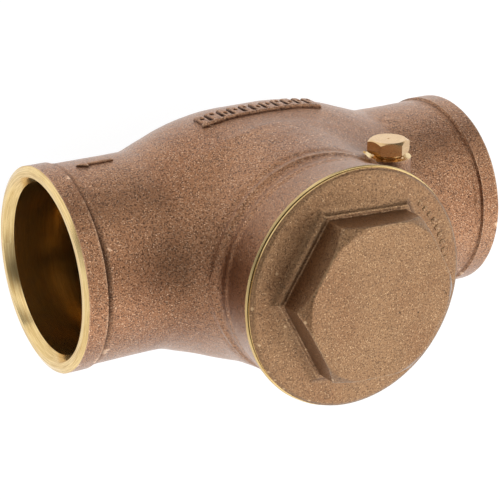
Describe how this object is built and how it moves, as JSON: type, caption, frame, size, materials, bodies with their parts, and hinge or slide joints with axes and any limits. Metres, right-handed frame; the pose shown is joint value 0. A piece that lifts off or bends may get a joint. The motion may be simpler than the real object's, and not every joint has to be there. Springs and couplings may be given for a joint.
{
  "type": "swing check valve",
  "caption": "Swing check valve with a round bulged body, solder cups at both ends, a screw-in hexagonal bonnet, a side pin plug and a hinged disc that shuts against reverse flow.",
  "frame": {"origin": "on the pipe axis in the plane where the inlet tube stops, at the inner end of the inlet cup", "axes": "+X runs with the flow from inlet to outlet, +Z runs out through the bonnet, and the hinge pin lies along Y with its plug on the -Y side"},
  "size_m": [0.1526, 0.0817, 0.1173],
  "materials": {
    "cast_bronze": "as-cast, lightly blasted, with machined mouths",
    "bonnet_bronze": "as-cast, lightly blasted, with a machined rim",
    "trim_bronze": "cast and machined",
    "machined_brass": "bright machined",
    "stainless": "ground",
    "nitrile": "moulded"
  },
  "bodies": {
    "valve_body": {"body": "cast_bronze"},
    "bonnet": {"bonnet": "bonnet_bronze"},
    "pin_plug": {"hinge_pin_plug": "machined_brass"},
    "hinge_pin": {"hinge_pin": "stainless"},
    "hanger": {"disc_hanger": "trim_bronze"},
    "disc": {"disc_holder": "trim_bronze", "seat_disc": "nitrile", "seat_disc_washer": "stainless", "seat_disc_nut": "machined_brass", "hanger_nut": "machined_brass"}
  },
  "joints": [
    {"name": "disc_swing", "type": "hinge", "parent": "valve_body", "child": "hanger", "pos_m": [0.0158, 0, 0.0391], "axis": [0, -1, 0], "range_deg": [0, 60]},
    {"name": "disc_turn", "type": "hinge", "parent": "hanger", "child": "disc", "pos_m": [0.024, 0, 0], "axis": [1, 0, 0], "continuous": true},
    {"name": "pin_turn", "type": "hinge", "parent": "valve_body", "child": "hinge_pin", "pos_m": [0.0158, 0, 0.0391], "axis": [0, -1, 0], "continuous": true},
    {"name": "bonnet_removal", "type": "slide", "parent": "valve_body", "child": "bonnet", "axis": [0, 0, 1], "range_m": [0, 0.05]},
    {"name": "pin_plug_removal", "type": "slide", "parent": "valve_body", "child": "pin_plug", "axis": [0, -1, 0], "range_m": [0, 0.02]}
  ]
}
